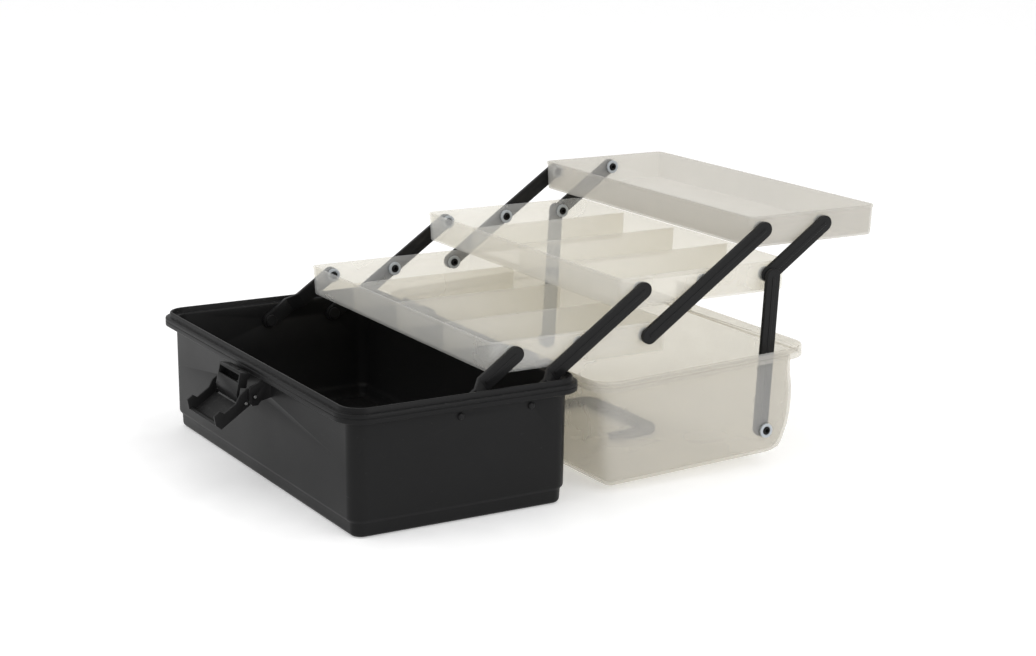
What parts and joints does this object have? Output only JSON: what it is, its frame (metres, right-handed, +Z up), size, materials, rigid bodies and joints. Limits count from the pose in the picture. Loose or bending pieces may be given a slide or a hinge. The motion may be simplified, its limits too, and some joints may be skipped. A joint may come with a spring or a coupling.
{
  "type": "fishing tackle box",
  "caption": "Fishing tackle box with cantilever trays that fold out on arms over a tub base, a hinged clear lid, an over-centre front latch and a folding carry handle",
  "frame": {"origin": "centre of the base's flat underside, on the surface that the box stands on", "axes": "X along the box's long rim and its hinge line, +Y from the latch side towards the opened lid, +Z up"},
  "size_m": [0.4, 0.5865, 0.2246],
  "materials": {
    "black_plastic": "satin moulded black polypropylene with a fine texture",
    "clear_plastic": "milky translucent natural polypropylene, smooth",
    "ring_plastic": "grey moulded retaining rings",
    "pin_metal": "bright drawn steel pins"
  },
  "bodies": {
    "base": {"base": "black_plastic", "rivet_front_right": "black_plastic", "rivet_front_left": "black_plastic", "rivet_rear_right": "black_plastic", "rivet_rear_left": "black_plastic", "hinge_pin_right": "pin_metal", "hinge_pin_left": "pin_metal", "latch_pin_right": "pin_metal", "latch_pin_left": "pin_metal"},
    "lid": {"lid": "clear_plastic", "handle_pin_right": "pin_metal", "handle_pin_left": "pin_metal"},
    "tray_1": {"tray_1": "clear_plastic"},
    "tray_2": {"tray_2": "clear_plastic"},
    "tray_3": {"tray_3": "clear_plastic"},
    "arms_a": {"arm_a_right": "black_plastic", "arm_a_left": "black_plastic", "ring_a1_right": "ring_plastic", "ring_a1_left": "ring_plastic"},
    "arms_b": {"arm_b_right": "black_plastic", "arm_b_left": "black_plastic", "ring_b1_right": "ring_plastic", "ring_b1_left": "ring_plastic", "ring_b2_right": "ring_plastic", "ring_b2_left": "ring_plastic"},
    "arms_c": {"arm_c_right": "black_plastic", "arm_c_left": "black_plastic", "ring_c1_right": "ring_plastic", "ring_c1_left": "ring_plastic", "ring_c2_right": "ring_plastic", "ring_c2_left": "ring_plastic", "ring_c3_right": "ring_plastic", "ring_c3_left": "ring_plastic"},
    "arms_d": {"arm_d_right": "black_plastic", "arm_d_left": "black_plastic", "ring_d1_right": "ring_plastic", "ring_d1_left": "ring_plastic", "ring_d2_right": "ring_plastic", "ring_d2_left": "ring_plastic"},
    "lid_links": {"lid_link_right": "black_plastic", "lid_link_left": "black_plastic", "ring_link_right": "ring_plastic", "ring_link_left": "ring_plastic"},
    "handle": {"handle": "black_plastic"},
    "latch_lever": {"latch_lever": "black_plastic", "hook_pin": "pin_metal"},
    "latch_hook": {"latch_hook": "black_plastic"}
  },
  "joints": [
    {"name": "trays_fold", "type": "hinge", "parent": "base", "child": "arms_a", "pos_m": [0, -0.0039, 0.0905], "axis": [1, 0, 0], "range_deg": [0, 122.4]},
    {"name": "tray_1_level", "type": "hinge", "parent": "arms_a", "child": "tray_1", "pos_m": [0, 0.0556, 0.1314], "axis": [1, 0, 0], "range_deg": [-122.4, 0]},
    {"name": "arms_b_swing", "type": "hinge", "parent": "base", "child": "arms_b", "pos_m": [0, 0.0623, 0.0905], "axis": [1, 0, 0], "range_deg": [0, 122.4]},
    {"name": "tray_2_level", "type": "hinge", "parent": "arms_b", "child": "tray_2", "pos_m": [0, 0.1813, 0.17229], "axis": [1, 0, 0], "range_deg": [-122.4, 0]},
    {"name": "arms_c_swing", "type": "hinge", "parent": "tray_1", "child": "arms_c", "pos_m": [0, 0.188, 0.1314], "axis": [1, 0, 0], "range_deg": [0, 122.4]},
    {"name": "tray_3_level", "type": "hinge", "parent": "arms_c", "child": "tray_3", "pos_m": [0, 0.30701, 0.21318], "axis": [1, 0, 0], "range_deg": [-122.4, 0]},
    {"name": "arms_d_swing", "type": "hinge", "parent": "tray_2", "child": "arms_d", "pos_m": [0, 0.3137, 0.17229], "axis": [1, 0, 0], "range_deg": [0, 122.4]},
    {"name": "lid_hinge", "type": "hinge", "parent": "base", "child": "lid", "pos_m": [0, 0.1175, 0.104], "axis": [1, 0, 0], "range_deg": [0, 177.9]},
    {"name": "lid_link_swing", "type": "hinge", "parent": "lid", "child": "lid_links", "pos_m": [0, 0.30648, 0.03428], "axis": [1, 0, 0], "range_deg": [0, 80.8]},
    {"name": "handle_swing", "type": "hinge", "parent": "lid", "child": "handle", "pos_m": [0, 0.23325, 0.00367], "axis": [1, 0, 0], "range_deg": [-170, 0]},
    {"name": "latch_swing", "type": "hinge", "parent": "base", "child": "latch_lever", "pos_m": [0, -0.1155, 0.083], "axis": [1, 0, 0], "range_deg": [-8, 40]},
    {"name": "hook_swing", "type": "hinge", "parent": "latch_lever", "child": "latch_hook", "pos_m": [0, -0.1224, 0.07714], "axis": [1, 0, 0], "range_deg": [-2, 30]}
  ],
  "couplings": [
    {"joint": "tray_1_level", "follows": "trays_fold", "ratio": -1},
    {"joint": "arms_b_swing", "follows": "trays_fold", "ratio": 1},
    {"joint": "tray_2_level", "follows": "trays_fold", "ratio": -1},
    {"joint": "arms_c_swing", "follows": "trays_fold", "ratio": 1},
    {"joint": "tray_3_level", "follows": "trays_fold", "ratio": -1},
    {"joint": "arms_d_swing", "follows": "trays_fold", "ratio": 1},
    {"joint": "lid_hinge", "follows": "trays_fold", "ratio": 0.84},
    {"joint": "lid_link_swing", "follows": "trays_fold", "ratio": 0.43}
  ]
}
